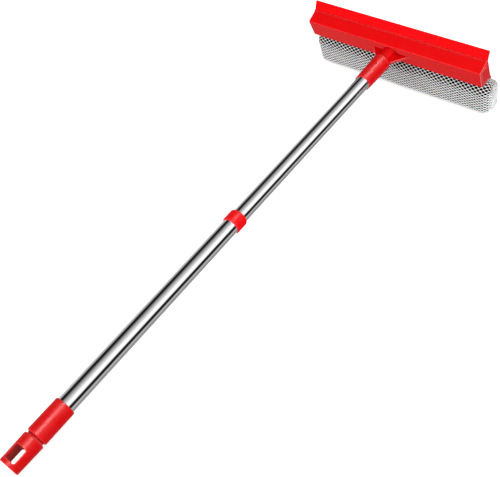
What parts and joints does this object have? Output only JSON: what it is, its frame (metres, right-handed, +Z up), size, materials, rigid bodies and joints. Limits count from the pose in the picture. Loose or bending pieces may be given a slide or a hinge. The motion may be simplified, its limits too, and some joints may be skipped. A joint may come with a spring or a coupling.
{
  "type": "window cleaning squeegee",
  "caption": "Long-handled window squeegee with a rubber blade, a netted sponge on the other side of the head, and a telescopic twist-lock pole with a hanging slot.",
  "frame": {"origin": "on the floor under the middle of the object's box, as it lies at rest on the sponge and the hanger end", "axes": "+Z up from the floor, towards the blade; +Y along the floor from the hanger end to the head; +X along the head, to the right seen from the handle"},
  "size_m": [0.2926, 0.8003, 0.1121],
  "materials": {
    "red_plastic": "semi-gloss moulded",
    "lock_plastic": "matte moulded",
    "red_rubber": "smooth",
    "chrome_tube": "polished",
    "zinc_steel": "zinc plated",
    "grey_foam": "open-cell foam",
    "white_net": "knitted net"
  },
  "bodies": {
    "handle": {"outer_tube": "chrome_tube", "hand_grip": "red_plastic", "end_plug": "red_plastic", "tube_collar": "red_plastic"},
    "hanger": {"hanger": "red_plastic", "hanger_washer": "zinc_steel", "hanger_screw": "zinc_steel"},
    "lock": {"lock_ring": "lock_plastic"},
    "upper_pole": {"inner_tube": "chrome_tube", "lock_plug": "lock_plastic", "lock_cap": "lock_plastic", "lock_screw": "zinc_steel", "pole_tip": "lock_plastic", "tip_pin": "zinc_steel"},
    "nut": {"union_nut": "red_plastic"},
    "head": {"front_shell": "red_plastic", "back_shell": "red_plastic", "squeegee_blade": "red_rubber", "blade_rod": "zinc_steel", "sponge": "grey_foam", "mesh_net": "white_net", "sponge_bar": "lock_plastic", "shell_screws": "zinc_steel"}
  },
  "joints": [
    {"name": "hanger_swivel", "type": "hinge", "parent": "handle", "child": "hanger", "pos_m": [-0.0055, -0.34812, 0.01651], "axis": [0, 0.9965, 0.0831], "continuous": true},
    {"name": "pole_extend", "type": "slide", "parent": "handle", "child": "lock", "axis": [0, 0.9965, 0.0831], "range_m": [-0.252, 0.035]},
    {"name": "pole_twist", "type": "hinge", "parent": "lock", "child": "upper_pole", "pos_m": [-0.0055, -0.0662, 0.04002], "axis": [0, 0.9965, 0.0831], "range_deg": [-120, 0]},
    {"name": "nut_turn", "type": "hinge", "parent": "upper_pole", "child": "nut", "pos_m": [-0.0055, 0.28827, 0.06959], "axis": [0, -0.9965, -0.0831], "range_deg": [0, 1440]},
    {"name": "head_draw", "type": "slide", "parent": "upper_pole", "child": "head", "axis": [0, 0.9965, 0.0831], "range_m": [-0.0005, 0.0175]}
  ],
  "couplings": [
    {"joint": "head_draw", "follows": "nut_turn", "m_per_rad": 0.00063662}
  ]
}
